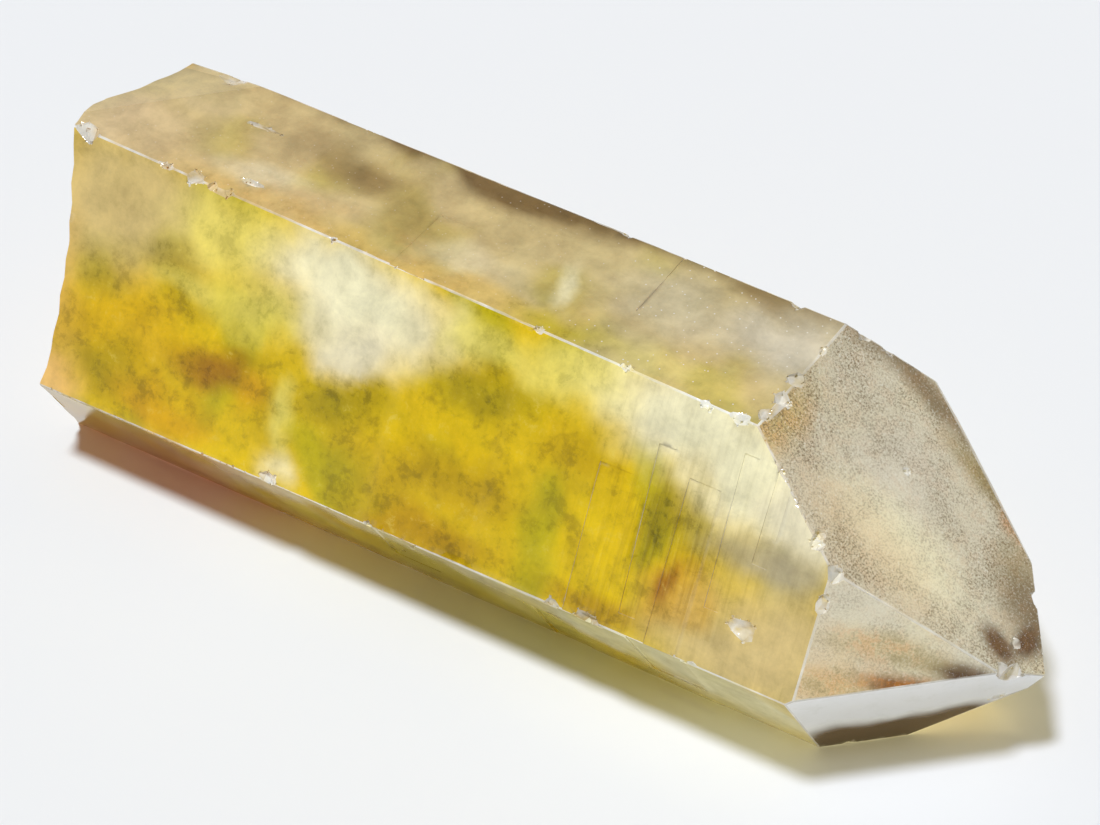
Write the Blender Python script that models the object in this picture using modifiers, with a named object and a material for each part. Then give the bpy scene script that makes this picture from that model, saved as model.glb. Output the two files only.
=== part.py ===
# A single natural citrine point lying on one of its long faces.
# It is one quartz crystal: six prism faces round the long axis, six slanting end faces
# that meet near the tip, worn and chipped edges, and a broken base where it came off its rock.
# Metres, +Z up, the long axis along X with the tip at +X. The origin is at the middle of the
# underside.

import math
import random

import bmesh
import bpy
from mathutils import Matrix, Vector, noise

MM = 0.001

# Long axis of the crystal: its height above the face that it rests on, and its place across
AXIS_HEIGHT = 10.0 * MM
AXIS_Y = 0.0 * MM

# Prism faces: direction round the axis in degrees from +Y, distance from the axis in
# millimetres, and taper towards the tip in degrees
PRISM_FACES = {
    "top": (90, 12.17, 0.65),
    "front_upper": (150, 10.47, -0.84),
    "front_lower": (210, 12.75, 0.20),
    "bottom": (270, 10.00, 0.0),
    "back_lower": (330, 12.46, 0.30),
    "back_upper": (30, 10.99, 0.52),
}

# In quartz the end faces lean 38.2 degrees from square to the axis. Three of them are large
# and three small, which comes from how far along the axis each one would meet it, in millimetres
END_FACE_LEAN = math.radians(38.21)
END_FACES = {
    "end_top": ("top", 33.32),
    "end_front_upper": ("front_upper", 39.25),
    "end_front_lower": ("front_lower", 41.11),
    "end_bottom": ("bottom", 42.0),
    "end_back_lower": ("back_lower", 36.94),
    "end_back_upper": ("back_upper", 37.12),
}

# The rough block that the faces are cut from
BLOCK_RADIUS = 40 * MM
BLOCK_HALF_LENGTH = 60 * MM
MERGE_GAP = 0.0001 * MM

# Broken base: where it starts, and its shell-shaped scoops as place (y, z), depth and
# radius of curvature, all in millimetres
BASE_X = -36.2
BASE_SCOOPS = (
    ((-13.0, 9.0), 3.1, 60.0),
    ((7.0, 20.0), 3.1, 13.0),
    ((8.0, 6.0), 2.4, 20.0),
    ((-3.0, 1.0), 1.9, 24.0),
)
BASE_RIPPLE_HEIGHT = 0.07
BASE_RIPPLE_LENGTH = 2.6
BASE_ROUGHNESS = 0.22
BASE_GRID_STEP = 1.1 * MM

# A shallow break across the far corner of the top face, by three points on it in millimetres
CORNER_BREAK = ((-35.2, -2.4, 22.57), (-27.8, 5.3, 22.45), (-33.6, 4.9, 21.75))

# Worn edges
EDGE_WEAR = 0.09 * MM
EDGE_WEAR_STEPS = 2
SHARP_ANGLE = math.radians(12)

# Chips along the edges: the two faces, the coordinate that places the chip and its value,
# then length along the edge and depth, in millimetres
CHIPS = (
    ("top", "front_upper", "x", -34.4, 2.2, 0.55),
    ("top", "front_upper", "x", -27.6, 1.3, 0.28),
    ("top", "front_upper", "x", -25.3, 1.5, 0.42),
    ("top", "front_upper", "x", -23.7, 1.0, 0.30),
    ("top", "front_upper", "x", -22.4, 0.8, 0.26),
    ("top", "front_upper", "x", -14.0, 0.7, 0.14),
    ("top", "front_upper", "x", 2.0, 0.8, 0.20),
    ("top", "front_upper", "x", 8.6, 0.9, 0.20),
    ("top", "front_upper", "x", 14.4, 1.2, 0.22),
    ("top", "front_upper", "x", 16.9, 1.6, 0.34),
    ("top", "end_top", "y", -4.3, 1.1, 0.32),
    ("top", "end_top", "y", -2.5, 1.3, 0.42),
    ("top", "end_top", "y", -0.6, 1.4, 0.40),
    ("top", "end_top", "y", 2.6, 0.8, 0.18),
    ("top", "back_upper", "x", -29.6, 5.0, 0.50),
    ("top", "back_upper", "x", 14.6, 1.1, 0.45),
    ("top", "back_upper", "x", 2.0, 1.0, 0.16),
    ("end_top", "back_upper", "x", 19.2, 1.2, 0.36),
    ("end_top", "back_upper", "x", 20.6, 1.0, 0.26),
    ("end_top", "front_upper", "x", 20.4, 0.8, 0.18),
    ("end_top", "front_upper", "x", 24.1, 1.2, 0.42),
    ("end_top", "end_front_upper", "x", 25.6, 1.6, 0.45),
    ("front_upper", "end_front_upper", "z", 14.2, 1.5, 0.30),
    ("front_upper", "front_lower", "x", -14.3, 1.7, 0.42),
    ("front_upper", "front_lower", "x", -6.3, 0.9, 0.20),
    ("front_upper", "front_lower", "x", 7.9, 1.1, 0.28),
    ("front_upper", "front_lower", "x", 10.5, 2.3, 0.50),
    ("front_upper", "front_lower", "x", 18.3, 0.9, 0.20),
    ("end_top", "end_front_lower", "x", 35.6, 2.2, 0.80),
    ("end_top", "end_bottom", "y", -1.9, 1.2, 0.55),
    ("end_top", "end_back_lower", "x", 34.4, 1.3, 0.45),
    ("end_front_lower", "bottom", "x", 26.4, 1.0, 0.22),
    ("back_upper", "back_lower", "x", -20.0, 1.8, 0.40),
    ("back_upper", "back_lower", "x", 4.0, 1.2, 0.25),
    ("end_back_upper", "back_upper", "z", 15.0, 1.2, 0.28),
    ("end_back_lower", "back_lower", "z", 5.0, 1.1, 0.25),
)
CHIP_SEED = 11
CHIP_UNEVENNESS = 0.22

# Pits, slots and dents in the faces: the face, a point near it, length along X, width and
# depth, in millimetres
PITS = (
    ("top", (-24.5, 2.2), 2.8, 0.40, 0.28),
    ("top", (-21.8, -2.9), 2.0, 0.55, 0.35),
    ("front_upper", (20.9, -11.8), 1.9, 1.50, 0.30),
    ("end_top", (23.9, -7.7), 0.9, 0.75, 0.40),
    ("end_top", (34.9, -1.9), 0.8, 0.70, 0.35),
    ("end_top", (25.2, 1.0), 0.7, 0.60, 0.16),
    ("end_front_lower", (34.4, -2.9), 1.0, 0.60, 0.22),
    ("back_upper", (-6.0, 11.0), 1.6, 0.80, 0.25),
    ("end_back_upper", (27.0, 5.0), 1.0, 0.70, 0.22),
)

# Growth steps: low terraces let into the prism faces. The face, where the terrace starts and
# ends along X in millimetres, the shares of the face's width that it spans, and its depth
GROWTH_STEPS = (
    ("front_upper", 8.6, 11.2, 0.38, 1.05, 0.05),
    ("front_upper", 12.3, 13.5, 0.22, 0.92, 0.07),
    ("front_upper", 14.7, 17.0, 0.30, 1.05, 0.05),
    ("front_upper", 17.9, 18.9, 0.12, 0.76, 0.06),
    ("front_upper", 20.3, 21.4, -0.05, 0.52, 0.05),
    ("front_lower", -6.0, -2.5, -0.05, 0.60, 0.06),
    ("front_lower", 5.4, 8.2, 0.35, 1.05, 0.05),
    ("front_lower", 13.5, 17.5, -0.05, 0.70, 0.05),
    ("top", -9.5, -6.8, 0.45, 1.05, 0.05),
    ("top", 6.2, 9.6, -0.05, 0.55, 0.06),
    ("back_lower", -14.0, -9.5, -0.05, 0.65, 0.07),
    ("back_lower", 7.5, 10.5, 0.30, 1.05, 0.06),
    ("back_upper", -20.0, -17.2, 0.25, 1.05, 0.06),
    ("back_upper", 10.8, 12.4, -0.05, 0.80, 0.07),
    ("back_upper", 15.6, 16.8, 0.20, 0.90, 0.05),
)
TERRACE_TURN = 2.5
TERRACE_HEIGHT = 1.0 * MM

CITRINE_COLOUR = (0.68, 0.52, 0.10, 1.0)
QUARTZ_IOR = 1.544
CITRINE_ROUGHNESS = 0.22
CITRINE_CLARITY = 0.6


def clear_scene():
    for item in list(bpy.data.objects):
        bpy.data.objects.remove(item, do_unlink=True)


def make_collection(name):
    collection = bpy.data.collections.new(name)
    bpy.context.scene.collection.children.link(collection)
    return collection


def face_planes():
    # Each face as its outward direction and its distance from the origin along it
    axis_point = Vector((0, AXIS_Y, AXIS_HEIGHT))
    planes = {}
    for name, (turn, distance, taper) in PRISM_FACES.items():
        turn, taper = math.radians(turn), math.radians(taper)
        across = Vector((0, math.cos(turn), math.sin(turn)))
        outward = across * math.cos(taper) + Vector((math.sin(taper), 0, 0))
        planes[name] = (outward, distance * MM + outward.dot(axis_point))
    for name, (prism_face, reach) in END_FACES.items():
        turn = math.radians(PRISM_FACES[prism_face][0])
        across = Vector((0, math.cos(turn), math.sin(turn)))
        outward = across * math.cos(END_FACE_LEAN) + Vector((math.sin(END_FACE_LEAN), 0, 0))
        planes[name] = (outward, outward.dot(axis_point + Vector((reach * MM, 0, 0))))
    return planes


def slice_off(bm, outward, distance):
    # Take away everything beyond a plane and close the cut
    cut = bmesh.ops.bisect_plane(
        bm, geom=bm.verts[:] + bm.edges[:] + bm.faces[:], dist=MERGE_GAP,
        plane_co=outward * distance, plane_no=outward, clear_outer=True)
    rim = [item for item in cut["geom_cut"] if isinstance(item, bmesh.types.BMEdge)]
    if rim:
        bmesh.ops.holes_fill(bm, edges=rim, sides=0)


def crystal_mesh(planes):
    # Six-sided block, then one straight cut for each crystal face and one for the corner break
    bm = bmesh.new()
    bmesh.ops.create_cone(
        bm, cap_ends=True, segments=6, radius1=BLOCK_RADIUS, radius2=BLOCK_RADIUS,
        depth=2 * BLOCK_HALF_LENGTH, matrix=Matrix.Rotation(math.radians(90), 4, "Y"))
    for outward, distance in planes.values():
        slice_off(bm, outward, distance)
    first, second, third = (Vector(point) * MM for point in CORNER_BREAK)
    outward = (second - first).cross(third - first).normalized()
    if outward.z < 0:
        outward.negate()
    slice_off(bm, outward, outward.dot(first))
    bmesh.ops.recalc_face_normals(bm, faces=bm.faces)
    mesh = bpy.data.meshes.new("citrine_point")
    bm.to_mesh(mesh)
    bm.free()
    return mesh


def base_depth(y, z):
    # How far the fracture reaches into the crystal: the deepest of its scoops, each with
    # faint rings round its middle, and a fine roughness over all of it
    deepest = 0.0
    for (middle_y, middle_z), depth, radius in BASE_SCOOPS:
        away = math.hypot(y - middle_y, z - middle_z)
        ripple = BASE_RIPPLE_HEIGHT * math.sin(2 * math.pi * away / BASE_RIPPLE_LENGTH)
        deepest = max(deepest, depth - away * away / (2 * radius) + ripple)
    rough = noise.noise(Vector((y * 0.6, z * 0.6, 0.5)))
    return deepest + BASE_ROUGHNESS * rough


def add_cutter(name, bm, collection):
    mesh = bpy.data.meshes.new(name)
    bmesh.ops.recalc_face_normals(bm, faces=bm.faces)
    bm.to_mesh(mesh)
    bm.free()
    cutter = bpy.data.objects.new(name, mesh)
    cutter.hide_render = True
    cutter.display_type = "WIRE"
    collection.objects.link(cutter)
    return cutter


def add_base_cutter(collection):
    # A thick block behind the base whose near side is the fracture surface
    bm = bmesh.new()
    half = 18 * MM
    cells = round(2 * half / BASE_GRID_STEP)
    bmesh.ops.create_grid(bm, x_segments=cells, y_segments=cells, size=half)
    for vert in bm.verts:
        y, z = vert.co.x, vert.co.y + AXIS_HEIGHT
        depth = base_depth(y / MM, z / MM)
        vert.co = Vector(((BASE_X + depth) * MM, y, z))
    walls = bmesh.ops.extrude_face_region(bm, geom=bm.faces[:])
    for item in walls["geom"]:
        if isinstance(item, bmesh.types.BMVert):
            item.co.x = -BLOCK_HALF_LENGTH - 5 * MM
    return add_cutter("base_break", bm, collection)


def edge_point(planes, first, second, axis, value):
    # The point of two faces' shared edge whose x, y or z has the given value
    rows = Matrix((planes[first][0], planes[second][0], {
        "x": Vector((1, 0, 0)), "y": Vector((0, 1, 0)), "z": Vector((0, 0, 1))}[axis]))
    return rows.inverted() @ Vector((planes[first][1], planes[second][1], value))


def add_scoop(name, middle, along, outward, size, chance, collection):
    # A scoop: a squashed, slightly uneven ball whose depth below the middle is set
    length, width, depth = size
    bm = bmesh.new()
    bmesh.ops.create_icosphere(bm, subdivisions=2, radius=1.0)
    for vert in bm.verts:
        vert.co *= 1 + chance.uniform(-CHIP_UNEVENNESS, CHIP_UNEVENNESS) * (1 - vert.co.z) / 2
    across = outward.cross(along).normalized()
    along = across.cross(outward).normalized()
    ball_height = depth * 2.2
    reach = math.sqrt(1 - (1 - depth / ball_height) ** 2)
    half_length = length / 2 / reach
    half_width = width / 2 / reach
    turned = Matrix((along * half_length, across * half_width, outward * ball_height)).transposed()
    place = Matrix.Translation(middle + outward * (ball_height - depth)) @ turned.to_4x4()
    bmesh.ops.transform(bm, matrix=place, verts=bm.verts)
    return add_cutter(name, bm, collection)


def add_chips(planes, chance, collection):
    for number, (first, second, axis, value, length, depth) in enumerate(CHIPS):
        middle = edge_point(planes, first, second, axis, value * MM)
        outward = (planes[first][0] + planes[second][0]).normalized()
        along = planes[first][0].cross(planes[second][0])
        lean = Matrix.Rotation(math.radians(chance.uniform(-25, 25)), 3, along)
        twist = Matrix.Rotation(math.radians(chance.uniform(-20, 20)), 3, outward)
        width = depth * chance.uniform(3.2, 4.4)
        size = (length * MM, width * MM, depth * MM)
        add_scoop(
            f"chip_{number:02d}", middle, twist @ along, lean @ outward, size, chance, collection)


def add_pits(planes, chance, collection):
    lengthwise = Vector((1, 0, 0))
    for number, (face, (x, y), length, width, depth) in enumerate(PITS):
        outward, distance = planes[face]
        height = (distance - outward.x * x * MM - outward.y * y * MM) / outward.z
        middle = Vector((x * MM, y * MM, height))
        size = (length * MM, width * MM, depth * MM)
        add_scoop(f"pit_{number:02d}", middle, lengthwise, outward, size, chance, collection)


def face_neighbours(face):
    # The faces before and after it round the crystal
    names = list(PRISM_FACES)
    place = names.index(face)
    return names[place - 1], names[(place + 1) % len(names)]


def add_growth_steps(planes, chance, collection):
    # A flat box for each terrace, its underside parallel to the face and sunk into it
    for number, (face, begin, finish, low, high, depth) in enumerate(GROWTH_STEPS):
        before, after = face_neighbours(face)
        middle_x = (begin + finish) / 2 * MM
        first = edge_point(planes, face, before, "x", middle_x)
        last = edge_point(planes, face, after, "x", middle_x)
        start, end = first.lerp(last, low), first.lerp(last, high)
        outward = planes[face][0]
        turn = Matrix.Rotation(math.radians(chance.uniform(-TERRACE_TURN, TERRACE_TURN)), 3, outward)
        across = turn @ (end - start)
        along = across.cross(outward).normalized() * (finish - begin) * MM
        shape = Matrix((along, across, outward * TERRACE_HEIGHT)).transposed()
        middle = start.lerp(end, 0.5) + outward * (TERRACE_HEIGHT / 2 - depth * MM)
        bm = bmesh.new()
        bmesh.ops.create_cube(bm, size=1.0)
        bmesh.ops.transform(
            bm, matrix=Matrix.Translation(middle) @ shape.to_4x4(), verts=bm.verts)
        add_cutter(f"growth_step_{number:02d}", bm, collection)


def citrine_material():
    material = bpy.data.materials.new("citrine")
    material.use_nodes = True
    shader = material.node_tree.nodes["Principled BSDF"]
    shader.inputs["Base Color"].default_value = CITRINE_COLOUR
    shader.inputs["Metallic"].default_value = 0.0
    shader.inputs["Roughness"].default_value = CITRINE_ROUGHNESS
    shader.inputs["IOR"].default_value = QUARTZ_IOR
    shader.inputs["Transmission Weight"].default_value = CITRINE_CLARITY
    return material


def centre_on_origin(crystal, cutters):
    # Everything moves by the same amount, so that the finished box stands on its middle
    bpy.context.view_layer.update()
    finished = crystal.evaluated_get(bpy.context.evaluated_depsgraph_get())
    corners = [Vector(corner) for corner in finished.bound_box]
    shift = Vector((
        -(min(c.x for c in corners) + max(c.x for c in corners)) / 2,
        -(min(c.y for c in corners) + max(c.y for c in corners)) / 2,
        -min(c.z for c in corners)))
    for item in [crystal, *cutters.objects]:
        item.data.transform(Matrix.Translation(shift))
    print("moved onto the origin by, in millimetres:", [round(v / MM, 3) for v in shift])


def build():
    clear_scene()
    parts = make_collection("citrine_specimen")
    cutters = make_collection("cutters")
    planes = face_planes()
    crystal = bpy.data.objects.new("citrine_point", crystal_mesh(planes))
    crystal.data.materials.append(citrine_material())
    parts.objects.link(crystal)
    add_base_cutter(cutters)
    chance = random.Random(CHIP_SEED)
    add_chips(planes, chance, cutters)
    add_pits(planes, chance, cutters)
    add_growth_steps(planes, chance, cutters)
    wear = crystal.modifiers.new("edge wear", "BEVEL")
    wear.width = EDGE_WEAR
    wear.segments = EDGE_WEAR_STEPS
    wear.limit_method = "ANGLE"
    wear.angle_limit = SHARP_ANGLE
    damage = crystal.modifiers.new("damage and growth steps", "BOOLEAN")
    damage.operation = "DIFFERENCE"
    damage.operand_type = "COLLECTION"
    damage.collection = cutters
    damage.solver = "EXACT"
    centre_on_origin(crystal, cutters)


build()
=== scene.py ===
import math

import bmesh
import bpy
import numpy as np
from mathutils import Matrix, Vector, noise


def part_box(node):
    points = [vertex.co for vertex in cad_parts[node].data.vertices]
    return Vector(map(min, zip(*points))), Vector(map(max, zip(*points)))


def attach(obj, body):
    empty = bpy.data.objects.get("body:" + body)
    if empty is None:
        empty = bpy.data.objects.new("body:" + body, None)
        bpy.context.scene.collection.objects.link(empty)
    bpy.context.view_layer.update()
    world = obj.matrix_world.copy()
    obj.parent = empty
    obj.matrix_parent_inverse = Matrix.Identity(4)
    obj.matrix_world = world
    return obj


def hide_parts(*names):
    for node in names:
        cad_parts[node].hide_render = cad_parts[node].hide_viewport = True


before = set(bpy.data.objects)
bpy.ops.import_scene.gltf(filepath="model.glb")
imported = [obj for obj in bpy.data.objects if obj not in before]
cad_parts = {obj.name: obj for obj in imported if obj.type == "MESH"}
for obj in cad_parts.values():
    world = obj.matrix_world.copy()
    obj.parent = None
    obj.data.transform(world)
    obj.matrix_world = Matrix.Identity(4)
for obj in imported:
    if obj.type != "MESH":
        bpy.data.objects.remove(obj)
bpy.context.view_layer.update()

print("frame loaded")

mm = 0.001

# where the crystal's faces look, as turns round its long axis from +Y, in degrees
facetTurns = {
    "top": 90, "frontUpper": 150, "frontLower": 210,
    "bottom": 270, "backLower": 330, "backUpper": 30,
}
endLean = math.radians(38.21)  # quartz's own angle between an end face and the axis


# small helpers for the node trees
def addNode(tree, kind, inputs=None, **settings):
    node = tree.nodes.new(kind)
    for name, value in settings.items():
        setattr(node, name, value)
    for key, value in (inputs or {}).items():
        socket = node.inputs[key]
        if isinstance(value, bpy.types.NodeSocket):
            tree.links.new(value, socket)
        else:
            socket.default_value = value
    return node


def mathNode(tree, operation, first, second):
    return addNode(tree, "ShaderNodeMath", {0: first, 1: second}, operation=operation).outputs[0]


def vectorNode(tree, operation, first, second):
    node = addNode(tree, "ShaderNodeVectorMath", {0: first, 1: second}, operation=operation)
    return node.outputs["Vector"]


def scaleVector(tree, vector, factor):
    node = addNode(tree, "ShaderNodeVectorMath", {0: vector, "Scale": factor}, operation="SCALE")
    return node.outputs["Vector"]


def ramp(tree, value, low, high, outLow=0.0, outHigh=1.0, smooth=True):
    node = addNode(tree, "ShaderNodeMapRange", {
        "Value": value, "From Min": low, "From Max": high, "To Min": outLow, "To Max": outHigh})
    node.interpolation_type = "SMOOTHSTEP" if smooth else "LINEAR"
    return node.outputs["Result"]


def mixColour(tree, factor, first, second):
    return addNode(tree, "ShaderNodeMix", {0: factor, 6: first, 7: second}, data_type="RGBA").outputs[2]


def noiseNode(tree, place, scale, detail=3.0, roughness=0.55, distortion=0.0):
    node = addNode(tree, "ShaderNodeTexNoise", {
        "Vector": place, "Scale": scale, "Detail": detail, "Roughness": roughness,
        "Distortion": distortion})
    return node.outputs


def shade(red, green, blue):
    # a colour as seen on a screen, 0 to 255, made linear
    linear = [((level / 255 + 0.055) / 1.055) ** 2.4 if level > 10 else level / 3295
              for level in (red, green, blue)]
    return (*linear, 1.0)


palette = {
    "gold": shade(236, 202, 4),
    "amber": shade(224, 162, 6),
    "bronze": shade(204, 166, 6),
    "umber": shade(158, 96, 8),
    "olive": shade(158, 144, 4),
    "moss": shade(204, 188, 14),
    "lemon": shade(246, 232, 118),
    "white": shade(252, 252, 246),
    "cream": shade(252, 244, 204),
    "milk": shade(240, 232, 200),
    "peach": shade(236, 190, 110),
    "beige": shade(240, 216, 170),
    "stone": shade(234, 216, 160),
    "smoke": shade(172, 152, 94),
    "grey": shade(234, 227, 202),
    "tan": shade(230, 196, 108),
    "rust": shade(226, 138, 14),
    "khaki": shade(222, 206, 124),
    "sand": shade(222, 198, 136),
    "slate": shade(182, 172, 140),
    "mist": shade(230, 224, 206),
    "dusk": shade(134, 112, 74),
    "bark": shade(88, 58, 22),
    "ochre": shade(228, 200, 140),
}

# how each face of the crystal looks: the tints that its ground drifts between, how clear it is,
# how satin, and how much etched grain it carries
facetLooks = {
    "top": {"tints": ("stone", "khaki", "stone"), "clear": 0.36, "satin": 0.13, "grain": 0.03,
            "streaks": 0.2, "dustAndGlints": 1.0},
    "frontUpper": {"tints": ("gold", "gold", "moss"), "clear": 0.15, "satin": 0.16, "grain": 0.03,
                   "streaks": 0.7},
    "frontLower": {"tints": ("lemon", "cream", "gold"), "clear": 0.45, "satin": 0.08, "grain": 0.0},
    "bottom": {"tints": ("amber", "gold", "moss"), "clear": 0.50, "satin": 0.20, "grain": 0.0},
    "backLower": {"tints": ("gold", "lemon", "moss"), "clear": 0.40, "satin": 0.16, "grain": 0.03},
    "backUpper": {"tints": ("stone", "beige", "tan"), "clear": 0.50, "satin": 0.16, "grain": 0.03},
    "endTop": {"tints": ("grey", "grey", "milk"), "clear": 0.20, "satin": 0.42, "grain": 1.0,
               "haze": 0.5},
    "endFrontUpper": {"tints": ("grey", "milk", "beige"), "clear": 0.10, "satin": 0.40, "grain": 0.45,
                      "haze": 0.3},
    # painted reflection: this end face is made white and nearly opaque to stand for the bright floor that it
    # mirrors
    "endFrontLower": {"tints": ("white", "white", "white"), "clear": 0.05, "satin": 0.05, "grain": 0.0,
                      "haze": 0.0},
    "endBottom": {"tints": ("beige", "grey", "tan"), "clear": 0.50, "satin": 0.30, "grain": 0.5,
                  "haze": 0.5},
    "endBackLower": {"tints": ("grey", "beige", "stone"), "clear": 0.40, "satin": 0.35, "grain": 0.8,
                     "haze": 0.5},
    "endBackUpper": {"tints": ("beige", "grey", "milk"), "clear": 0.40, "satin": 0.35, "grain": 0.8,
                     "haze": 0.5},
    "broken": {"tints": ("beige", "milk", "peach"), "clear": 0.30, "satin": 0.42, "grain": 0.10},
    "chipped": {"tints": ("white", "white", "cream"), "clear": 0.30, "satin": 0.10, "grain": 0.0},
}
facetNames = list(facetLooks)

# how far a cloud of each colour hides what is behind it, and how flecked it is
veils = {"cream": 0.8, "milk": 0.8, "lemon": 0.5, "umber": 0.5, "olive": 0.4, "peach": 0.6, "tan": 0.5}
flecked = {"gold": 0.55, "amber": 0.75, "bronze": 0.7, "umber": 1.0, "olive": 1.0, "moss": 0.9,
           "rust": 0.9, "lemon": 0.3, "tan": 0.3, "khaki": 0.3, "ochre": 1.0}

# how much of a face's etched grain is left where a cloud lies below it
grained = {"cream": 0.25, "milk": 0.45, "mist": 0.6, "peach": 0.35}

cloudDepth = 3.0  # millimetres below a face at which its clouds are seen
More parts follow.
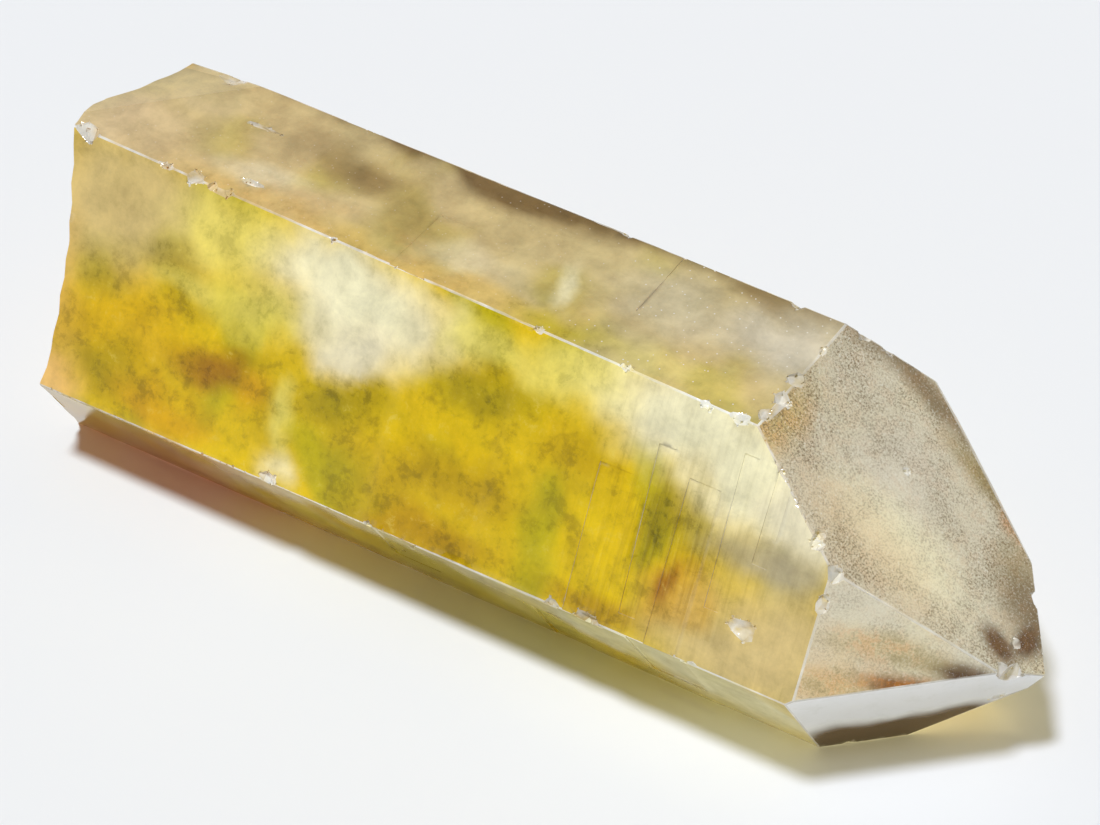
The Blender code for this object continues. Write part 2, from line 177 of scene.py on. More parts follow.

# some of these clouds are painted light, painted reflections, painted shade and painted shadow, each marked
# where it stands
# clouds of colour below each face: x and z of its middle in millimetres (x and y below the level
# faces), its half lengths along and across the crystal, its colour and its strength
cloudsAndPaintedLight = {
    "frontUpper": (
        (-35.0, 14.0, 2.6, 9.0, "peach", 0.75),
        (-33.8, 7.2, 2.6, 2.4, "peach", 0.95),
        (-30.5, 19.8, 6.5, 4.4, "sand", 0.90),
        (-22.0, 20.4, 4.6, 3.0, "lemon", 0.80),
        (-24.6, 16.4, 2.4, 0.7, "lemon", 0.70),
        (-29.5, 12.0, 5.0, 4.0, "amber", 0.35),
        (-26.5, 17.6, 2.2, 1.5, "olive", 0.55),
        (-30.5, 15.0, 1.4, 1.2, "olive", 0.50),
        (-29.3, 9.9, 3.0, 1.7, "olive", 0.60),
        (-24.4, 15.4, 1.6, 1.6, "olive", 0.35),
        (-18.8, 16.4, 3.4, 1.5, "lemon", 0.60),
        (-21.0, 12.4, 3.4, 1.0, "umber", 0.80),
        (-19.6, 13.6, 1.6, 1.0, "umber", 0.60),
        (-16.6, 12.2, 1.4, 1.6, "amber", 0.60),
        (-24.0, 9.4, 3.6, 1.6, "amber", 0.60),
        # painted reflection: these cream and milk clouds high on the face stand for a soft sheen of light on
        # it
        (-13.6, 20.2, 4.8, 3.4, "cream", 0.95),
        (-8.4, 19.6, 4.0, 2.6, "cream", 0.85),
        (-11.2, 17.0, 3.4, 1.7, "milk", 0.85),
        (-14.2, 11.4, 0.6, 2.6, "lemon", 0.75),
        (-14.4, 8.2, 1.3, 1.2, "cream", 0.60),
        (-10.8, 13.6, 2.4, 1.7, "olive", 0.75),
        (-7.6, 15.0, 2.0, 1.4, "olive", 0.45),
        (-1.4, 17.2, 3.4, 1.5, "olive", 0.70),
        (2.0, 18.6, 2.2, 1.2, "olive", 0.55),
        (5.0, 20.8, 4.6, 1.8, "lemon", 0.85),
        (-2.0, 20.2, 3.0, 1.2, "lemon", 0.60),
        (-1.5, 12.0, 4.4, 2.2, "bronze", 0.85),
        (-6.4, 10.6, 3.0, 1.8, "bronze", 0.60),
        (6.0, 16.2, 3.0, 1.6, "bronze", 0.55),
        # painted shade: brown bands along the face's lower edge
        (-3.0, 8.6, 5.0, 1.2, "umber", 0.55),
        (10.6, 9.0, 4.0, 1.0, "umber", 0.45),
        # painted reflection: these cream and milk clouds stand for a soft sheen of light on the upper right
        # of the face
        (12.6, 20.6, 5.6, 3.0, "cream", 0.95),
        (18.6, 19.0, 5.0, 3.4, "cream", 0.95),
        (23.0, 17.6, 2.8, 2.6, "milk", 0.90),
        (20.5, 9.4, 5.6, 3.8, "sand", 0.95),
        (24.0, 10.4, 3.0, 3.6, "sand", 0.90),
        (12.8, 15.2, 1.3, 2.6, "olive", 0.85),
        (15.2, 15.0, 1.0, 2.4, "olive", 0.60),
        (15.6, 11.4, 1.8, 2.2, "amber", 0.60),
        (14.8, 11.8, 0.6, 1.2, "umber", 0.80),
        (19.2, 14.8, 3.2, 1.4, "slate", 0.75),
        (22.6, 14.6, 2.6, 1.6, "slate", 0.90),
    ),
    "top": (
        (-32.0, -3.0, 5.0, 4.0, "beige", 0.85),
        (-25.0, -4.4, 5.0, 2.2, "tan", 0.60),
        (-16.8, 0.8, 2.4, 1.6, "dusk", 0.75),
        (-20.0, 2.2, 3.0, 1.5, "dusk", 0.40),
        (-12.0, -0.6, 2.6, 1.4, "smoke", 0.55),
        (-6.6, -1.6, 3.0, 1.4, "milk", 0.50),
        (-22.6, -2.2, 3.0, 1.2, "milk", 0.55),
        (-12.0, -4.9, 8.0, 1.6, "tan", 0.75),
        (-3.0, -5.0, 5.0, 1.8, "tan", 0.70),
        (2.0, -4.6, 3.4, 1.3, "moss", 0.75),
        (0.6, -0.2, 0.8, 1.8, "cream", 0.75),
        (10.0, -4.8, 5.0, 1.5, "lemon", 0.45),
        (8.0, 0.8, 4.6, 2.6, "grey", 0.55),
        (15.0, 2.2, 3.4, 3.4, "mist", 0.90),
        # painted shade: a dark band along the back edge of the top face, standing for the dark seen at the
        # crystal's outline
        (-6.0, 6.4, 25.0, 1.6, "dusk", 1.10),
    ),
    "frontLower": (
        # partly the crystal's own colour and partly painted shadow: the brown and olive clouds on this face
        # match the coloured shadow seen through it
        (-34.0, 4.0, 4.0, 6.0, "bronze", 0.95),
        (-25.0, 2.0, 7.0, 4.6, "umber", 0.80),
        (-20.0, 7.4, 6.0, 1.6, "peach", 0.85),
        (-12.0, 1.5, 8.0, 3.0, "moss", 0.85),
        (-10.0, 7.0, 8.0, 1.5, "cream", 0.80),
        (-2.0, 3.0, 7.0, 4.0, "olive", 0.75),
        (8.0, 1.5, 7.0, 2.6, "moss", 0.60),
        (10.0, 6.6, 8.0, 2.2, "cream", 0.80),
        (20.0, 4.0, 7.0, 5.0, "cream", 0.90),
    ),
    "bottom": (
        (-28.0, 0.0, 9.0, 9.0, "rust", 0.8),
        (-20.0, -3.0, 4.0, 5.0, "umber", 0.7),
        (-6.0, 0.0, 8.0, 8.0, "olive", 0.7),
        (6.0, 0.0, 8.0, 8.0, "moss", 0.6),
        (20.0, 0.0, 9.0, 9.0, "milk", 0.8),
    ),
    "backLower": (
        (-33.0, 6.0, 4.0, 8.0, "peach", 0.8),
        (-20.0, 7.0, 5.0, 3.0, "umber", 0.6),
        (-8.0, 10.0, 6.0, 4.0, "cream", 0.7),
        (2.0, 6.0, 5.0, 3.0, "olive", 0.6),
        (16.0, 9.0, 8.0, 7.0, "milk", 0.8),
    ),
    "backUpper": (
        (-30.0, 16.0, 6.0, 6.0, "beige", 0.8),
        (-18.0, 13.0, 5.0, 3.0, "gold", 0.6),
        (-4.0, 12.0, 7.0, 3.0, "moss", 0.6),
        (5.0, 17.0, 5.0, 3.0, "milk", 0.8),
        (18.0, 14.0, 8.0, 6.0, "grey", 0.8),
    ),
    "endTop": (
        (18.0, -4.2, 1.6, 3.4, "tan", 0.80),
        (16.6, 1.6, 2.0, 6.0, "smoke", 0.20),
        # painted shade: dark bands along the back edge of this end face, going on from the one along the top
        # face
        (18.0, 6.8, 3.6, 1.4, "dusk", 0.90),
        (23.0, 6.8, 5.0, 0.9, "dusk", 0.85),
        (28.6, 5.4, 4.4, 0.9, "smoke", 0.90),
        (24.4, 0.6, 3.6, 2.6, "mist", 0.75),
        (26.8, -3.4, 5.0, 2.2, "cream", 0.80),
        (31.0, 4.6, 1.5, 0.8, "rust", 0.55),
        (32.0, 2.4, 1.8, 2.0, "smoke", 0.55),
        (25.0, -5.6, 6.0, 2.2, "beige", 0.60),
        (34.2, 0.8, 2.8, 2.4, "dusk", 0.85),
        (33.6, -3.2, 1.4, 0.7, "bark", 1.20),
        (34.8, -1.4, 0.8, 1.2, "bark", 1.20),
    ),
    "endFrontUpper": (
        (25.4, 12.6, 2.0, 2.4, "grey", 0.60),
        (28.4, 11.0, 3.0, 1.0, "ochre", 0.65),
        (26.6, 9.2, 2.4, 0.9, "ochre", 0.60),
        (31.4, 9.4, 1.8, 0.7, "smoke", 0.70),
        (30.4, 8.3, 3.0, 0.6, "umber", 1.10),
        (33.0, 8.5, 1.8, 0.7, "bark", 1.20),
    ),
    "endFrontLower": (
        (25.6, 0.6, 2.8, 2.4, "bark", 1.60),
        (28.6, 1.4, 2.6, 2.0, "bark", 1.60),
        (31.4, 2.4, 2.4, 1.6, "bark", 1.40),
    ),
}

# what one surface lets through of the lamp's light, along the crystal in millimetres
lightTints = (
    (-34.0, (168, 124, 4)),
    (-24.0, (166, 114, 2)),
    (-12.0, (168, 146, 10)),
    (4.0, (150, 142, 26)),
    (14.0, (176, 168, 112)),
    (24.0, (196, 190, 164)),
)

surface = {
    "cleanUp": 1e-6,          # metres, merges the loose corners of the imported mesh
    "flat": 0.6,              # degrees within which neighbours become one flat face
    "facetAngle": 4.0,        # degrees within which a patch counts as one of the crystal faces
    "bigPatch": 0.5e-6,       # square metres, below which a patch is a chip
    "gridStep": 0.45 * mm,    # spacing of the fine grid laid over the faces
    "waviness": 0.020 * mm,   # gentle unevenness of the faces, and its length
    "waveLength": 4.5 * mm,
    "sharpAngle": 22.0,
    "breakReach": 6 * mm,     # from the base, how far its break may come up
    "breakArea": 4e-6,        # square metres, above which any other patch is a break too
    "stepDepth": 0.06 * mm,   # within which a wall belongs to a growth terrace
    "wallLean": 0.3,          # cosine below which a polygon stands up from a face
    "pressed": 0.8,           # how much of a terrace's height is taken off
}

chips = {
    "edgeAngle": math.radians(54),   # edges bent by this much are chipped, give or take the range
    "angleRange": math.radians(26),
    "spacing": 0.5 * mm,
    "share": 0.55,                   # how many of the places along an edge are hit
    "smallest": 0.04 * mm,
    "largest": 0.20 * mm,
    "seed": 4,
}


def facetNormals():
    normals = {}
    for name, turn in facetTurns.items():
        turn = math.radians(turn)
        across = Vector((0, math.cos(turn), math.sin(turn)))
        normals[name] = across
        endName = "end" + name[0].upper() + name[1:]
        normals[endName] = across * math.cos(endLean) + Vector((math.sin(endLean), 0, 0))
    return normals


def makeChipTree(material):
    # small angular flakes struck off along every sharp edge of the crystal
    tree = bpy.data.node_groups.new("edgeChips", "GeometryNodeTree")
    for name, side, kind in (
            ("Crystal", "INPUT", "Geometry"), ("Edge angle", "INPUT", "Float"),
            ("Angle range", "INPUT", "Float"),
            ("Spacing", "INPUT", "Float"), ("Share", "INPUT", "Float"),
            ("Smallest", "INPUT", "Float"), ("Largest", "INPUT", "Float"),
            ("Seed", "INPUT", "Int"), ("Chipped crystal", "OUTPUT", "Geometry")):
        tree.interface.new_socket(name, in_out=side, socket_type="NodeSocket" + kind)
    given = addNode(tree, "NodeGroupInput").outputs
    bend = addNode(tree, "GeometryNodeInputMeshEdgeAngle").outputs["Unsigned Angle"]
    sharp = addNode(tree, "FunctionNodeCompare", {
        0: bend, 1: given["Edge angle"], "Epsilon": given["Angle range"]},
        data_type="FLOAT", operation="EQUAL").outputs[0]
    edges = addNode(tree, "GeometryNodeMeshToCurve", {
        "Mesh": given["Crystal"], "Selection": sharp}).outputs[0]
    places = addNode(tree, "GeometryNodeCurveToPoints", {
        "Curve": edges, "Length": given["Spacing"]}, mode="LENGTH").outputs["Points"]
    struck = addNode(tree, "FunctionNodeRandomValue", {
        "Probability": given["Share"], "Seed": given["Seed"]}, data_type="BOOLEAN").outputs[3]
    size = addNode(tree, "FunctionNodeRandomValue", {
        0: (0, 0, 0), 1: (1, 1, 1), "Seed": given["Seed"]}, data_type="FLOAT_VECTOR").outputs[0]
    small = vectorNode(tree, "MULTIPLY", size, size)
    spread = mathNode(tree, "SUBTRACT", given["Largest"], given["Smallest"])
    size = vectorNode(tree, "ADD", scaleVector(tree, small, spread), given["Smallest"])
    turn = addNode(tree, "FunctionNodeRandomValue", {
        0: (0, 0, 0), 1: (math.tau,) * 3, "Seed": given["Seed"]}, data_type="FLOAT_VECTOR").outputs[0]
    flake = addNode(tree, "GeometryNodeMeshCube", {"Size": (1.5, 1.5, 1.5)}).outputs[0]
    flakes = addNode(tree, "GeometryNodeInstanceOnPoints", {
        "Points": places, "Selection": struck, "Instance": flake, "Rotation": turn,
        "Scale": size}).outputs[0]
    flakes = addNode(tree, "GeometryNodeRealizeInstances", {0: flakes}).outputs[0]
    cut = addNode(tree, "GeometryNodeMeshBoolean", {
        "Mesh 1": given["Crystal"], "Mesh 2": flakes, "Self Intersection": True},
        operation="DIFFERENCE", solver="EXACT").outputs[0]
    cut = addNode(tree, "GeometryNodeSetMaterial", {
        "Geometry": cut, "Material": material}).outputs[0]
    addNode(tree, "NodeGroupOutput", {0: cut})
    return tree


def setModifierInputs(modifier, values):
    # a node modifier's inputs are set by their identifiers, found here by name
    for item in modifier.node_group.interface.items_tree:
        if item.item_type == "SOCKET" and item.in_out == "INPUT" and item.name in values:
            modifier[item.identifier] = values[item.name]


def makeCrystalMesh(material):
    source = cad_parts["citrine_point"].data
    bm = bmesh.new()
    bm.from_mesh(source)
    bmesh.ops.remove_doubles(bm, verts=bm.verts, dist=surface["cleanUp"])
    bmesh.ops.dissolve_limit(
        bm, angle_limit=math.radians(surface["flat"]), verts=bm.verts, edges=bm.edges)
    mesh = bpy.data.meshes.new("plainCrystal")
    bm.to_mesh(mesh)
    bm.free()
    plain = bpy.data.objects.new("plainCrystal", mesh)
    bpy.context.scene.collection.objects.link(plain)
    modifier = plain.modifiers.new("edge chips", "NODES")
    modifier.node_group = makeChipTree(material)
    setModifierInputs(modifier, {
        "Edge angle": chips["edgeAngle"], "Angle range": chips["angleRange"],
        "Spacing": chips["spacing"], "Share": chips["share"],
        "Smallest": chips["smallest"], "Largest": chips["largest"], "Seed": chips["seed"]})
    ready = plain.evaluated_get(bpy.context.evaluated_depsgraph_get())
    chipped = bpy.data.meshes.new_from_object(ready)
    bpy.data.objects.remove(plain)
    print("edges chipped:", len(chipped.polygons), "faces")
    return chipped


def nameFacets(bm):
    # each polygon is numbered after the crystal face it lies in, or as a break or a chip
    normals = facetNormals()
    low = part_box("citrine_point")[0]
    limit = math.cos(math.radians(surface["facetAngle"]))
    layer = bm.faces.layers.int.new("facet")
    for face in bm.faces:
        face.normal_update()
        best = max(normals, key=lambda name: normals[name].dot(face.normal))
        area = face.calc_area()
        middle = face.calc_center_median()
        if normals[best].dot(face.normal) > limit and area > surface["bigPatch"]:
            name = best
        elif face.normal.x < -0.5 and middle.x < low.x + surface["breakReach"]:
            name = "broken"
        elif area > surface["breakArea"]:
            name = "broken"
        else:
            name = "chipped"
        face[layer] = facetNames.index(name)
    return layer


def layGrid(bm, layer):
    # the big flat faces are cut into a fine grid, along and across each one
    normals = facetNormals()
    step = surface["gridStep"]
    for name, outward in normals.items():
        number = facetNames.index(name)
        across = outward.cross(Vector((1, 0, 0))).normalized()
        along = across.cross(outward).normalized()
        for direction in (along, across):
            faces = [face for face in bm.faces if face[layer] == number]
            if not faces:
                continue
            reach = [vert.co.dot(direction) for face in faces for vert in face.verts]
            lines = range(math.ceil(min(reach) / step), math.ceil(max(reach) / step))
            splitFaces(bm, faces, direction, [line * step for line in lines])
    # breaks get a coarser one, and chips are only cut across
    coarse = step * 2
    for name, directions in (("broken", ((1, 0, 0), (0, 1, 0), (0, 0, 1))), ("chipped", ((1, 0, 0),))):
        for direction in map(Vector, directions):
            faces = [face for face in bm.faces if face[layer] == facetNames.index(name)]
            reach = [vert.co.dot(direction) for face in faces for vert in face.verts]
            lines = range(math.ceil(min(reach) / coarse), math.ceil(max(reach) / coarse))
            splitFaces(bm, faces, direction, [line * coarse for line in lines])


def splitFaces(bm, faces, direction, lines):
    # cuts the faces at the middle line, then each half at the lines that are left for it
    if not lines:
        return
    middle = len(lines) // 2
    at = lines[middle]
    crossed = []
    lower, upper = [], []
    for face in faces:
        reach = [vert.co.dot(direction) for vert in face.verts]
        if min(reach) < at - 1e-7 and max(reach) > at + 1e-7:
            crossed.append(face)
        elif max(reach) > at + 1e-7:
            upper.append(face)
        else:
            lower.append(face)
    edges = {edge for face in crossed for edge in face.edges}
    verts = {vert for face in crossed for vert in face.verts}
    made = bmesh.ops.bisect_plane(
        bm, geom=[*verts, *edges, *crossed], dist=1e-8, plane_co=direction * at, plane_no=direction)
    for piece in made["geom"]:
        if isinstance(piece, bmesh.types.BMFace):
            side = piece.calc_center_median().dot(direction)
            (upper if side > at else lower).append(piece)
    splitFaces(bm, lower, direction, lines[:middle])
    splitFaces(bm, upper, direction, lines[middle + 1:])


def lowerSteps(bm, layer):
    # the growth terraces are pressed down until only a faint line of each is left
    for name, outward in facetNormals().items():
        number = facetNames.index(name)
        verts = {vert for face in bm.faces if face[layer] == number for vert in face.verts}
        heights = sorted(vert.co.dot(outward) for vert in verts)
        for vert in verts:
            rise = vert.co.dot(outward) - heights[len(heights) // 2]
            if abs(rise) < surface["stepDepth"]:
                vert.co -= outward * rise * surface["pressed"]


def roughenFaces(bm):
    length = surface["waveLength"]
    moves = []
    for vert in bm.verts:
        place = vert.co / length
        height = noise.noise(place) + 0.5 * noise.noise(place * 2.3)
        moves.append(vert.normal * height * surface["waviness"])
    for vert, move in zip(bm.verts, moves):
        vert.co += move
        vert.co.z = max(vert.co.z, 0.0)


def facetPoint(outward, distance, along, other):
    # the place on a face with the given x and z, or x and y where it is level across
    if abs(outward.y) < 0.1:
        return Vector((along, other, (distance - outward.x * along) / outward.z))
    return Vector((along, (distance - outward.x * along - outward.z * other) / outward.y, other))


def smoothStep(values, low, high):
    share = np.clip((values - low) / (high - low), 0, 1)
    return share * share * (3 - 2 * share)


def noiseAt(places, length, start):
    # three soft random values for each place, from -1 to 1
    rows = places / length + np.array((1.0, 1.7, 2.3)) * start
    return np.array([[noise.noise(row) for row in (rows + step).tolist()] for step in (0.0, 31.4, 62.9)]).T


def readOut(items, key, width=1, kind=float):
    # one number, or one row of numbers, for each item
    values = np.zeros(len(items) * width, kind)
    items.foreach_get(key, values)
    return values.reshape(-1, width) if width > 1 else values


def looksOf(key, plain):
    return np.array([facetLooks[name].get(key, plain) for name in facetNames])


painting = {
    # reach and length in millimetres of the swirls that bend the clouds, and where their noise starts
    "warps": ((1.8, 6.0, 0.0), (0.8, 2.2, 7.0), (0.3, 0.9, 13.0)),
    "endWarp": 0.45,                     # how much of that the end faces get
    "fullWarp": 1.6,                     # half width from which a cloud gets all of it
    "rim": (1.7, 0.3),                   # where a cloud starts and is full, in its own half widths
    "plainVeil": 0.2,                    # for tints that the tables above leave out
    "plainFlecks": 0.1,
    "drift": (5.0, 21.0),                # length and start of the drift between a face's tints
    "driftRise": ((-0.1, 0.45), (0.0, 0.5)),
    "breakRim": (0.3, 3.0),              # millimetres inside a face over which a break turns plain
    "worn": ((2.0, 41.0), (0.4, 43.0)),  # lengths and starts of the wear that whitens the chips
    "wornRise": (-0.6, 0.5),
    "whitened": (0.15, 0.75),            # how white every chip is, and what wear adds to it
    "brightest": 0.95,
    "lineRise": (4.0, 13.0),             # x in millimetres over which the growth lines come up
    "lineLeast": (0.15, 0.12),           # what is left of them before that, and where no flecks are
    "dustAndGlintRise": (-2.0, 7.0),
    "dustAndGlintLeast": 0.3,
    "farAway": 9.0,                      # metres, so that no corner is nearest to a chip or a break
}


def paintCloudsAndLight(mesh):
    # every corner of every polygon gets the colour of the clouds that lie below it, painted reflections and
    # painted shade among them
    normals = facetNormals()
    normalRows = np.array([list(normals.get(name, (0, 0, 0))) for name in facetNames])
    facets = readOut(mesh.attributes["facet"].data, "value", kind=np.int32)
    sizes = readOut(mesh.polygons, "loop_total", kind=np.int32)
    # chips and breaks look into the crystal past the face that is nearest to them
    heights = readOut(mesh.polygons, "center", 3) @ normalRows.T
    reach = np.array([np.median(heights[facets == row, row]) if name in normals else painting["farAway"]
                      for row, name in enumerate(facetNames)])
    nearest = np.argmin(np.abs(reach - heights), axis=1)
    lookFacets = np.where(np.linalg.norm(normalRows[facets], axis=1) > 0, facets, nearest)
    # the low walls of the growth terraces look like the face that they stand on
    outwards = readOut(mesh.polygons, "normal", 3)
    upright = np.abs(np.sum(outwards * normalRows[nearest], axis=1)) < surface["wallLean"]
    shallow = np.min(np.abs(reach - heights), axis=1) < surface["stepDepth"]
    facets = np.where(upright & shallow, nearest, facets)
    # corners that share a place and a face are worked out once
    corners = readOut(mesh.loops, "vertex_index", kind=np.int32).astype(np.int64)
    many = len(facetNames)
    kinds = (corners * many + np.repeat(facets, sizes)) * many + np.repeat(lookFacets, sizes)
    kinds, sameAs = np.unique(kinds, return_inverse=True)
    facets, look = kinds // many % many, kinds % many
    points = readOut(mesh.vertices, "co", 3)[kinds // many ** 2] / mm
    below = points - normalRows[look] * cloudDepth
    bend = sum(amount * noiseAt(below, length, start) for amount, length, start in painting["warps"])
    bend *= np.array([painting["endWarp"] if name.startswith("end") else 1.0
                      for name in facetNames])[look, None]

    # the ground of each face drifts between its tints; a chip takes those of the face it is struck
    # from, and a break those of the face beside it, turning to its own further in
    drift = noiseAt(below + bend, *painting["drift"])
    tints = np.array([[palette[tint][:3] for tint in facetLooks[name]["tints"]] for name in facetNames])
    chipped = facets == facetNames.index("chipped")
    broken = facets == facetNames.index("broken")
    inward = np.min(np.abs(reach / mm - points @ normalRows.T), axis=1)
    inward = np.where(broken, smoothStep(inward, *painting["breakRim"]), np.where(chipped, 0.0, 1.0))
    own = inward[:, None, None]
    tints = tints[facets] * own + tints[look] * (1 - own)
    first, second = (smoothStep(drift[:, row:row + 1], *painting["driftRise"][row]) for row in (0, 1))
    colour = tints[:, 0] * (1 - first) + tints[:, 1] * first
    colour = colour * (1 - second) + tints[:, 2] * second
    clear, satin, grain, hazes = (looksOf(key, 1.0)[facets] for key in ("clear", "satin", "grain", "haze"))
    flecks = np.array([flecked.get(facetLooks[name]["tints"][0], painting["plainFlecks"])
                       for name in facetNames])[facets]

    plain = np.column_stack((colour, clear, flecks, grain))
    start, full = painting["rim"]
    for facet, spots in cloudsAndPaintedLight.items():
        inside = np.nonzero(look == facetNames.index(facet))[0]
        outward = normals[facet]
        distance = reach[facetNames.index(facet)] / mm
        alongFace = (Vector((1, 0, 0)) - outward * outward.x).normalized()
        acrossFace = outward.cross(alongFace)
        for along, other, length, width, tint, strength in spots:
            middle = facetPoint(outward, distance, along, other) - outward * cloudDepth
            away = below[inside] + bend[inside] * min(1.0, width / painting["fullWarp"]) - np.array(middle)
            away = np.hypot(away @ np.array(alongFace) / length, away @ np.array(acrossFace) / width)
            mask = np.minimum(strength * smoothStep(-away, -start, -full), 1.0)
            colour[inside] += (np.array(palette[tint][:3]) - colour[inside]) * mask[:, None]
            clear[inside] *= 1 - mask * veils.get(tint, painting["plainVeil"])
            flecks[inside] += (flecked.get(tint, painting["plainFlecks"]) - flecks[inside]) * mask
            grain[inside] *= 1 - mask * (1 - grained.get(tint, 1.0))
    # well inside the break the clouds of the faces around it are no longer seen
    painted = np.column_stack((colour, clear, flecks, grain))
    painted += (plain - painted) * np.where(broken, inward, 0.0)[:, None]
    colour, clear, flecks, grain = painted[:, :3], painted[:, 3], painted[:, 4], painted[:, 5]
    worn = noiseAt(points, *painting["worn"][0])[:, 0] + noiseAt(points, *painting["worn"][1])[:, 1]
    least, more = painting["whitened"]
    whitened = np.where(chipped, least + more * smoothStep(worn, *painting["wornRise"]), 0)[:, None]
    colour = np.clip(colour + (np.array(palette["white"][:3]) - colour) * whitened, 0, painting["brightest"])

    # the light that comes through, and the fine growth lines and the dust with its painted glints, strongest
    # towards the tip
    passed = np.array([[place, *shade(*tint)[:3]] for place, tint in lightTints]).T
    shadow = np.stack([np.interp(points[:, 0], passed[0], channel) for channel in passed[1:]], axis=1)
    least, leastPlain = painting["lineLeast"]
    streaks = looksOf("streaks", 0.0)[facets]
    streaks *= least + (1 - least) * smoothStep(points[:, 0], *painting["lineRise"])
    streaks *= leastPlain + (1 - leastPlain) * flecks
    least = painting["dustAndGlintLeast"]
    dustAndGlints = looksOf("dustAndGlints", 0.0)[facets]
    dustAndGlints *= least + (1 - least) * smoothStep(points[:, 0], *painting["dustAndGlintRise"])
    for key, values in (("cloudsAndPaintedLight", colour), ("shadow", shadow)):
        layer = mesh.attributes.new(key, "FLOAT_COLOR", "CORNER")
        layer.data.foreach_set("color", np.hstack([values[sameAs], np.ones((len(corners), 1))]).ravel())
    for key, values in (("clear", clear), ("satin", satin), ("grain", grain), ("haze", hazes),
                        ("flecks", flecks), ("streaks", streaks), ("dustAndGlints", dustAndGlints)):
        layer = mesh.attributes.new(key, "FLOAT", "CORNER")
        layer.data.foreach_set("value", values[sameAs])
    print("clouds painted")


citrine = {
    "ior": 1.544,
    "absorbed": (0.95, 0.86, 0.42, 1),   # the tint that deep crystal takes on
    "density": 40.0,
    "hazeScale": 0.34,                   # all the scales are per millimetre
    "hazeShade": (0.76, 1.10),           # darkest and lightest
    "fleckScale": 0.9,
    "fleckShade": (0.42, 0.42, 0.25),    # what a fleck leaves of the colour
    "darkFlecks": 0.80,
    "paleWisps": 0.35,
    "lineScales": (3.2, 0.16, 0.16),
    "lineShade": (0.62, 0.60, 0.50),
    "rustySpecks": 0.8,
    "grainScale": 7.0,
    "grainDark": (0.30, 0.90),           # in the clear and in the hazy patches
    "grainPale": 0.6,
    "dustAndGlintScale": 1.9,
    "relief": (0.12 * mm, 0.8),          # of the grain and the growth lines, its depth and strength
}


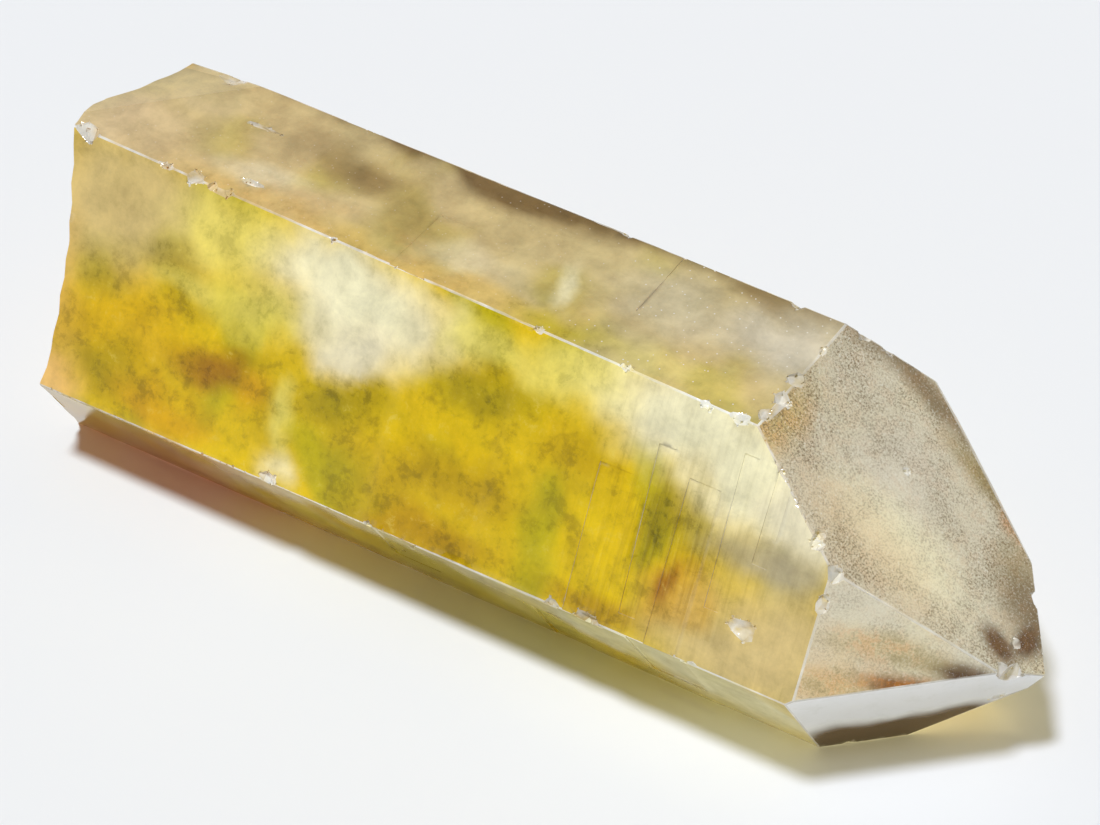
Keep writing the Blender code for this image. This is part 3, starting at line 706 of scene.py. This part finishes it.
def citrineMaterial():
    material = bpy.data.materials.new("clouded citrine")
    material.use_nodes = True
    tree = material.node_tree
    tree.nodes.clear()
    place = scaleVector(tree, addNode(tree, "ShaderNodeTexCoord").outputs["Object"], 1 / mm)
    keys = ("clear", "satin", "grain", "haze", "flecks", "streaks", "dustAndGlints")
    looks = {key: addNode(tree, "ShaderNodeAttribute", attribute_name=key).outputs
             for key in ("cloudsAndPaintedLight", "shadow", *keys)}
    clear, satin, grain, cloudy, flecks, streaks, dustAndGlints = (looks[key]["Fac"] for key in keys)
    colour = looks["cloudsAndPaintedLight"]["Color"]

    # a soft haze in all of it
    haze = noiseNode(tree, place, citrine["hazeScale"], 7.0, 0.66, 0.2)["Fac"]
    hazed = scaleVector(tree, colour, ramp(tree, haze, 0.34, 0.66, *citrine["hazeShade"], smooth=False))
    colour = mixColour(tree, cloudy, colour, hazed)

    # dark flecks gathered in patches, and pale wisps between them, finer than the painted clouds
    spots = noiseNode(tree, place, citrine["fleckScale"], 8.0, 0.74, 0.25)["Fac"]
    dark = mathNode(tree, "MULTIPLY", ramp(tree, spots, 0.48, 0.61), ramp(tree, haze, 0.60, 0.42, 0.15))
    dark = mathNode(tree, "MULTIPLY", dark, flecks)
    pale = mathNode(tree, "MULTIPLY", ramp(tree, spots, 0.46, 0.34), ramp(tree, haze, 0.46, 0.60))
    pale = mathNode(tree, "MULTIPLY", pale, flecks)
    darker = vectorNode(tree, "MULTIPLY", colour, citrine["fleckShade"])
    colour = mixColour(tree, mathNode(tree, "MULTIPLY", dark, citrine["darkFlecks"]), colour, darker)
    colour = mixColour(
        tree, mathNode(tree, "MULTIPLY", pale, citrine["paleWisps"]), colour, palette["lemon"])

    # fine growth lines across the crystal
    lines = noiseNode(tree, vectorNode(tree, "MULTIPLY", place, citrine["lineScales"]), 1.0, 3.0, 0.6)["Fac"]
    lined = vectorNode(tree, "MULTIPLY", colour, citrine["lineShade"])
    colour = mixColour(
        tree, mathNode(tree, "MULTIPLY", ramp(tree, lines, 0.46, 0.66), streaks), colour, lined)

    # rusty specks and etched grain on the end faces
    rusty = mathNode(tree, "MULTIPLY", flecks, grain)
    rusty = mathNode(tree, "MULTIPLY", ramp(tree, spots, 0.52, 0.44), rusty)
    colour = mixColour(
        tree, mathNode(tree, "MULTIPLY", rusty, citrine["rustySpecks"]), colour, palette["rust"])
    speckle = noiseNode(tree, place, citrine["grainScale"], 3.0, 0.75)["Fac"]
    dark = mathNode(tree, "MULTIPLY", ramp(tree, speckle, 0.53, 0.38), grain)
    dark = mathNode(tree, "MULTIPLY", dark, ramp(tree, haze, 0.64, 0.40, *citrine["grainDark"]))
    colour = mixColour(tree, dark, colour, palette["dusk"])
    pale = mathNode(tree, "MULTIPLY", ramp(tree, speckle, 0.56, 0.68), grain)
    colour = mixColour(
        tree, mathNode(tree, "MULTIPLY", pale, citrine["grainPale"]), colour, palette["white"])

    # bright specks, partly dust and partly painted glints
    specks = addNode(tree, "ShaderNodeTexVoronoi", {"Vector": place, "Scale": citrine["dustAndGlintScale"]})
    specks = mathNode(tree, "MULTIPLY", ramp(tree, specks.outputs["Distance"], 0.13, 0.06), dustAndGlints)
    colour = mixColour(tree, specks, colour, palette["white"])
    relief = mathNode(tree, "MULTIPLY", speckle, grain)
    relief = mathNode(tree, "ADD", relief, mathNode(tree, "MULTIPLY", lines, streaks))
    depth, strength = citrine["relief"]
    bump = addNode(tree, "ShaderNodeBump", {
        "Height": relief, "Distance": depth, "Strength": strength}).outputs["Normal"]

    shader = addNode(tree, "ShaderNodeBsdfPrincipled", {
        "Base Color": colour, "Roughness": satin, "Transmission Weight": clear,
        "Normal": bump, "IOR": citrine["ior"]})
    absorption = addNode(tree, "ShaderNodeVolumeAbsorption", {
        "Color": citrine["absorbed"], "Density": citrine["density"]})
    # light from the lamp goes through and takes on the crystal's colour
    passed = addNode(tree, "ShaderNodeBsdfTransparent", {"Color": looks["shadow"]["Color"]})
    surfaceMix = addNode(tree, "ShaderNodeMixShader", {
        0: addNode(tree, "ShaderNodeLightPath").outputs["Is Shadow Ray"],
        1: shader.outputs["BSDF"], 2: passed.outputs["BSDF"]})
    output = addNode(tree, "ShaderNodeOutputMaterial")
    tree.links.new(surfaceMix.outputs["Shader"], output.inputs["Surface"])
    tree.links.new(absorption.outputs["Volume"], output.inputs["Volume"])
    return material


def makeCrystal():
    mesh = makeCrystalMesh(citrineMaterial())
    bm = bmesh.new()
    bm.from_mesh(mesh)
    layer = nameFacets(bm)
    layGrid(bm, layer)
    lowerSteps(bm, layer)
    bm.normal_update()
    roughenFaces(bm)
    bm.to_mesh(mesh)
    bm.free()
    mesh.shade_smooth()
    mesh.set_sharp_from_angle(angle=math.radians(surface["sharpAngle"]))
    print("faces laid with a grid:", len(mesh.polygons), "faces")
    paintCloudsAndLight(mesh)
    crystal = bpy.data.objects.new("citrine_crystal", mesh)
    bpy.context.scene.collection.objects.link(crystal)
    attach(crystal, "root")
    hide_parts("citrine_point")
    print("crystal made")
    return crystal


studio = {
    "floorSize": 2.4,
    "floorShade": (0.785, 0.80, 0.82, 1.0),
    "skyShade": (0.93, 0.96, 1.0, 1.0),
    "skyStrength": 0.15,             # overhead
    "edgeStrength": 0.80,            # just above the horizon
    "edgeRise": (0.08, 0.20),        # sines of the angles between which one fades to the other
    "lampTurn": (12.0, -5.0),        # degrees that the lamp leans to the front and to the tip
    "lampSize": 9.5,                 # degrees across, as seen from the crystal
    "lampStrength": 3.05,
}

view = {
    "target": (-4.93, 5.27, 3.82),   # millimetres
    "distance": 281.5,
    "turn": 33.30,                   # degrees round from the front
    "height": 42.58,                 # degrees above the floor
    "roll": -1.34,
    "lens": 135.3,
}


def makeStudio():
    half = studio["floorSize"] / 2
    mesh = bpy.data.meshes.new("floor")
    corners = [(-half, -half, 0), (half, -half, 0), (half, half, 0), (-half, half, 0)]
    mesh.from_pydata(corners, [], [(0, 1, 2, 3)])
    floor = bpy.data.objects.new("floor", mesh)
    bpy.context.scene.collection.objects.link(floor)
    paint = bpy.data.materials.new("floor")
    paint.use_nodes = True
    shader = paint.node_tree.nodes["Principled BSDF"]
    shader.inputs["Base Color"].default_value = studio["floorShade"]
    shader.inputs["Roughness"].default_value = 0.9
    mesh.materials.append(paint)
    world = bpy.data.worlds.new("studio")
    world.use_nodes = True
    tree = world.node_tree
    background = tree.nodes["Background"]
    background.inputs["Color"].default_value = studio["skyShade"]
    upward = addNode(tree, "ShaderNodeSeparateXYZ", {
        0: addNode(tree, "ShaderNodeTexCoord").outputs["Generated"]}).outputs["Z"]
    tree.links.new(ramp(tree, upward, *studio["edgeRise"], studio["edgeStrength"], studio["skyStrength"]),
                   background.inputs["Strength"])
    bpy.context.scene.world = world
    lamp = bpy.data.objects.new("overhead", bpy.data.lights.new("overhead", "SUN"))
    lamp.data.angle = math.radians(studio["lampSize"])
    lamp.data.energy = studio["lampStrength"]
    forward, along = studio["lampTurn"]
    lamp.rotation_euler = (math.radians(forward), math.radians(along), 0)
    bpy.context.scene.collection.objects.link(lamp)
    bpy.context.scene.view_settings.view_transform = "Standard"
    print("studio made")


def makeCamera():
    turn, height, roll = (math.radians(view[key]) for key in ("turn", "height", "roll"))
    back = Vector((math.sin(turn) * math.cos(height), -math.cos(turn) * math.cos(height), math.sin(height)))
    right = Vector((math.cos(turn), math.sin(turn), 0))
    up = back.cross(right)
    right, up = (right * math.cos(roll) + up * math.sin(roll), up * math.cos(roll) - right * math.sin(roll))
    camera = bpy.data.objects.new("camera", bpy.data.cameras.new("camera"))
    camera.data.lens = view["lens"]
    camera.data.sensor_width = 36.0
    camera.data.clip_start = 0.01
    camera.data.clip_end = 10.0
    place = Vector(view["target"]) * mm + back * view["distance"] * mm
    turned = Matrix((right, up, back)).transposed().to_4x4()
    camera.matrix_world = Matrix.Translation(place) @ turned
    bpy.context.scene.collection.objects.link(camera)
    bpy.context.scene.camera = camera
    print("camera placed")


makeStudio()
makeCamera()
makeCrystal()
